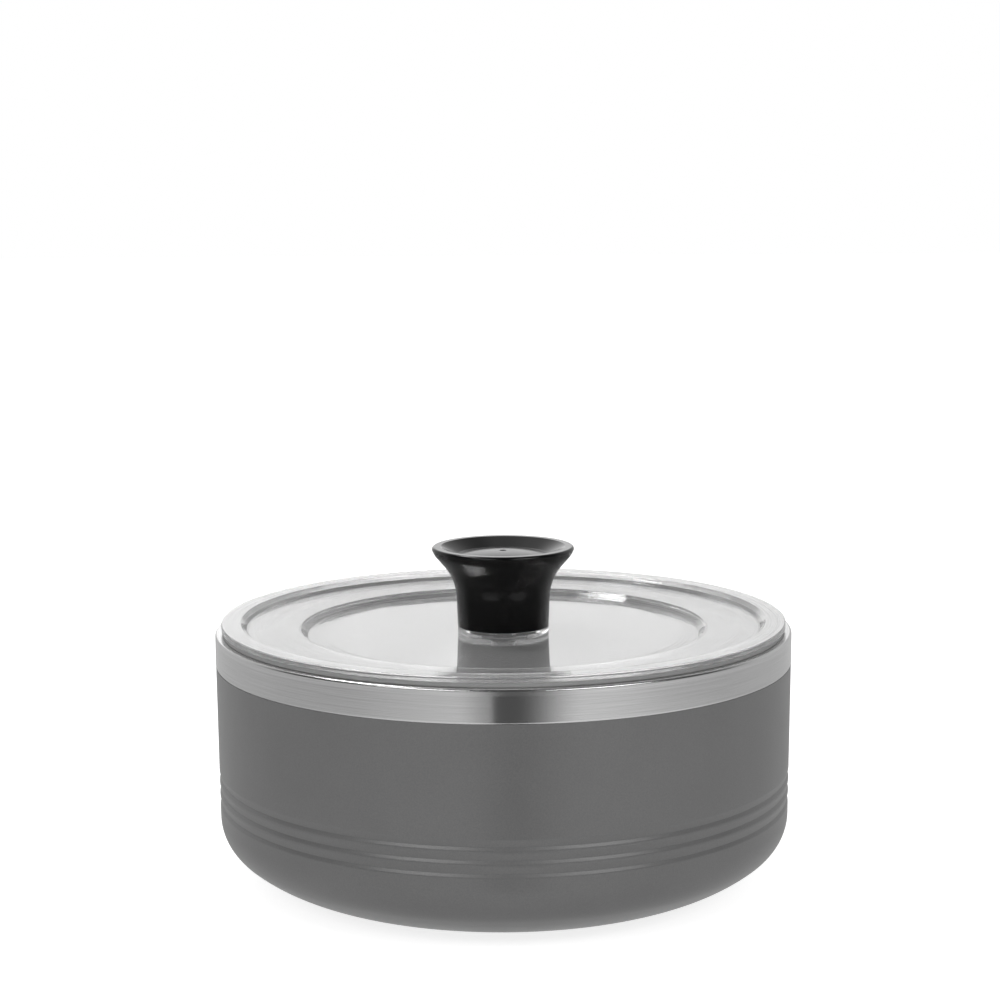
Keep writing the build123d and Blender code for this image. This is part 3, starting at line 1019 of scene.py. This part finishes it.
def add_stage_piece(name: str, mesh: bmesh.types.BMesh) -> tuple[bpy.types.Object, ShaderTree]:
    """Makes a piece of the studio.

    Args:
        name: Name of the piece and of its material.
        mesh: Its mesh, which is used up.

    Returns:
        The piece, and the node tree of its material.
    """
    data = bpy.data.meshes.new(name)
    mesh.to_mesh(data)
    mesh.free()
    material = bpy.data.materials.new(name)
    material.use_nodes = True
    data.materials.append(material)
    piece = bpy.data.objects.new(name, data)
    bpy.context.scene.collection.objects.link(piece)
    return piece, ShaderTree(material.node_tree)


@dataclass(frozen=True)
class Softbox:
    """Soft lamp that points at the bowl."""

    name: str
    place: tuple[float, float, float]  # Place of its middle
    size: tuple[float, float]  # Width and height of its face
    power: float
    seen_through: bool = False  # Whether it shows through clear pieces
    aim_height: float = 60 * MM  # Height on the axis at which it points

    def build(self) -> None:
        """Builds the lamp."""
        light = bpy.data.lights.new(self.name, "AREA")
        light.shape = "ELLIPSE"
        light.size, light.size_y = self.size
        light.energy = self.power
        lamp = bpy.data.objects.new(self.name, light)
        aim = Vector((0.0, 0.0, self.aim_height)) - Vector(self.place)
        turn = aim.to_track_quat("-Z", "Y").to_matrix().to_4x4()
        lamp.matrix_world = Matrix.Translation(self.place) @ turn
        lamp.visible_transmission = self.seen_through
        bpy.context.scene.collection.objects.link(lamp)


SOFTBOXES = (
    Softbox("left_softbox", (-0.64, -0.949, 0.775), (0.95, 0.4), 3.9),
    Softbox("right_softbox", (0.721, -0.89, 0.775), (0.95, 0.4), 4.3),
    Softbox("key_softbox", (-0.42, 0.29, 0.98), (0.3, 0.3), 3.8, seen_through=True),
)


@dataclass
class Studio:
    """Floor, surroundings, lamps and camera."""

    floor_size: float = 12.0  # Length of the floor's side
    floor_level: float = 0.9  # Level of the floor's colour
    floor_veil: float = 0.44  # Share of the floor that the camera sees as plain white
    floor_glow: float = 1.82  # Level of that white
    side_fall: float = 0.45  # Share that the floor loses, in reflections, away from the camera's side
    fall_front: float = 0.3  # Distance in front of the axis from which that loss is measured
    fall_right: float = 0.08  # Distance of that place to the right of the axis
    fall_start: float = 0.05  # Distance from there at which it starts
    fall_end: float = 0.42  # Distance from there at which it is whole
    far_level: float = 1.3  # Level of the surroundings behind the bowl
    far_fall: float = 0.55  # Share that they lose, in reflections, to the left and right
    far_left: float = 0.07  # Bearing to the left from which that loss is measured
    fall_span: tuple[float, float] = (0.13, 0.3)  # Distances from that bearing between which it grows
    far_span: tuple[float, float] = (0.0, 0.55)  # Depths between which near turns into far
    near_level: float = 0.05  # Level of the surroundings on the camera's side
    fill_level: float = 0.56  # Level that this side adds on matt surfaces
    top_fall: float = 0.42  # Share that the surroundings lose overhead
    top_span: tuple[float, float] = (0.45, 0.8)  # Heights between which that loss grows
    flag_apex: float = 0.095  # Distance in front of the axis from which the card fans out
    flag_near: float = 0.05  # Distance of the card's near edge from there
    flag_far: float = 0.55  # Distance of its far edge from there
    flag_rise: float = 0.11  # Height of its far edge
    flag_left: float = 0.42  # Width of its left half over its distance
    flag_core: float = 0.1  # Width of the dark core of that half
    flag_right: float = 0.78  # Width of its right half over its distance
    flag_dark: float = 0.93  # Darkness of that core
    flag_soft: float = 0.45  # Darkness of the card left of its core
    flag_edge: float = 0.02  # Half the width of the core's soft edge
    eye: tuple[float, float, float] = (0.0, -0.7352, 0.2307)  # Place of the camera
    pitch: float = math.radians(-8.155)  # Angle at which the camera looks up, here down
    pan: float = math.radians(-0.068)  # Angle at which it looks to the right, here to the left
    roll: float = math.radians(-0.311)  # Angle about its own axis
    lens: float = 80.784  # Focal length, in millimetres
    sensor: float = 36.0  # Width of the sensor, in millimetres
    bounces: int = 20  # Limit of a light path, raised because the lid's edge guides light
    mirror_bounces: int = 12  # Limit of reflections
    clear_bounces: int = 16  # Limit of passes through clear pieces

    def build(self) -> None:
        """Builds the studio."""
        bpy.context.scene.view_settings.view_transform = "Standard"
        bpy.context.scene.cycles.max_bounces = self.bounces
        bpy.context.scene.cycles.glossy_bounces = self.mirror_bounces
        bpy.context.scene.cycles.transmission_bounces = self.clear_bounces
        self.add_world()
        self.add_floor()
        self.add_flag()
        for softbox in SOFTBOXES:
            softbox.build()
        self.add_camera()

    def add_world(self) -> None:
        """Makes surroundings that are white behind, dimmer overhead and dark on the camera's side."""
        world = bpy.data.worlds.new("studio_surroundings")
        world.use_nodes = True
        bpy.context.scene.world = world
        tree = ShaderTree(world.node_tree)
        direction = tree.add("ShaderNodeTexCoord", {}, {}).outputs["Generated"]
        side, depth, height = tree.split(direction)
        camera, glossy, through, scattered = tree.rays(*RAYS, "Diffuse Depth")
        mirrored = glossy * (1.0 - through)
        matt = tree.math("MINIMUM", scattered, 1.0)
        behind = depth.step(*self.far_span)
        overhead = self.top_fall * height.step(*self.top_span)
        bearing = tree.math("ABSOLUTE", side + self.far_left)
        sideways = self.far_fall * mirrored * bearing.step(*self.fall_span)
        far = self.far_level * behind * (1.0 - overhead) * (1.0 - sideways)
        near = (self.near_level + self.fill_level * matt) * (1.0 - behind)
        studio = far + near
        strength = camera + (1.0 - camera) * studio
        shader = tree.add("ShaderNodeBackground", {}, {"Color": grey(1.0), "Strength": strength})
        tree.add("ShaderNodeOutputWorld", {}, {"Surface": shader.outputs[0]})

    def add_floor(self) -> None:
        """Makes the pale floor, which keeps the bowl's shadow."""
        mesh = bmesh.new()
        bmesh.ops.create_grid(mesh, x_segments=4, y_segments=4, size=self.floor_size / 2)
        floor, tree = add_stage_piece("studio_floor", mesh)
        camera, mirrored, through = tree.rays(*RAYS)
        place = tree.place()
        across, along, _ = tree.split(place)
        aside = across - self.fall_right
        ahead = along + self.fall_front
        reach = (aside * aside + ahead * ahead) ** 0.5
        lost = self.side_fall * reach.step(self.fall_start, self.fall_end) * (1.0 - through)
        drift = tree.noise(place, 0.5)
        paper = tree.blend(grey(self.floor_level * 0.98), grey(self.floor_level), drift)
        matt = tree.add("ShaderNodeBsdfDiffuse", {}, {"Color": paper})
        glow = tree.add("ShaderNodeEmission", {}, {"Strength": self.floor_glow})
        veil = camera * self.floor_veil
        lit = tree.add("ShaderNodeMixShader", {}, {0: veil, 1: matt.outputs[0], 2: glow.outputs[0]})
        white = tree.add("ShaderNodeEmission", {}, {"Strength": 1.0 - lost})
        seen = tree.math("MAXIMUM", mirrored, through)
        both = tree.add("ShaderNodeMixShader", {}, {0: seen, 1: lit.outputs[0], 2: white.outputs[0]})
        tree.add("ShaderNodeOutputMaterial", {}, {"Surface": both.outputs[0]})

    def add_flag(self) -> None:
        """Makes the dark card that leans away in front of the bowl, which only reflections see."""
        mesh = bmesh.new()
        near_left = mesh.verts.new((-self.flag_left * self.flag_near, -self.flag_near, 0.0))
        near_right = mesh.verts.new((self.flag_right * self.flag_near, -self.flag_near, 0.0))
        near = mesh.edges.new((near_left, near_right))
        drawn = bmesh.ops.extrude_edge_only(mesh, edges=[near])["geom"]
        far = [item for item in drawn if isinstance(item, bmesh.types.BMVert)]
        widen = self.flag_far / self.flag_near
        lift = Matrix.Translation((0.0, 0.0, self.flag_rise))
        spread = lift @ Matrix.Diagonal((widen, widen, 1.0, 1.0))
        bmesh.ops.transform(mesh, matrix=spread, verts=far)
        bmesh.ops.translate(mesh, vec=(0.0, -self.flag_apex, MM), verts=mesh.verts[:])
        flag, tree = add_stage_piece("studio_flag", mesh)
        flag.visible_camera = False
        flag.visible_diffuse = False
        flag.visible_shadow = False
        flag.visible_transmission = False
        place = tree.place()
        across, along, _ = tree.split(place)
        bearing = across / (-1.0 * along - self.flag_apex)
        weave = tree.noise(place, 2 * MM)
        core_start = -self.flag_core - self.flag_edge
        core_end = -self.flag_core + self.flag_edge
        core = self.flag_dark * bearing.step(core_start, core_end)
        soft = self.flag_soft * bearing.step(-self.flag_left, -self.flag_core)
        right = 1.0 - bearing.step(self.flag_core, self.flag_right)
        tree.surface({
            "Base Color": tree.blend(grey(0.01), grey(0.03), weave),
            "Roughness": 0.9,
            "Alpha": tree.math("MAXIMUM", core, soft) * right,
        })

    def add_camera(self) -> None:
        """Adds the camera at the photograph's viewpoint."""
        data = bpy.data.cameras.new("studio_camera")
        data.lens = self.lens
        data.sensor_width = self.sensor
        level = math.cos(self.pitch)
        forward = Vector((math.sin(self.pan) * level, math.cos(self.pan) * level, math.sin(self.pitch)))
        right = forward.cross(Vector((0.0, 0.0, 1.0))).normalized()
        up = right.cross(forward)
        tilted_right = math.cos(self.roll) * right + math.sin(self.roll) * up
        tilted_up = math.cos(self.roll) * up - math.sin(self.roll) * right
        camera = bpy.data.objects.new("studio_camera", data)
        turn = Matrix((tilted_right, tilted_up, -forward)).transposed().to_4x4()
        camera.matrix_world = Matrix.Translation(self.eye) @ turn
        bpy.context.scene.collection.objects.link(camera)
        bpy.context.scene.camera = camera


def main() -> None:
    """Loads the frame and builds the bowl, its lid, its knob and the studio."""
    logging.basicConfig(level=logging.INFO, format="%(message)s")
    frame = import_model()
    bowl = SteelBowl.from_frame()
    bowl.build()
    ClearLid.from_frame(bowl).build()
    FlaredKnob.from_frame().build()
    kept_nodes = {
        "port_seal": BRAZE,
        "getter_pellet": PELLET,
        "getter_clip": STEEL,
        "knob_insert": BRASS,
        "knob_screw": SCREW,
        "screw_washer": SCREW,
        "washer_seal": SEAL,
    }
    for node, finish in kept_nodes.items():
        dress_node(frame, node, finish)
    Studio().build()


if __name__ == "__main__":
    main()
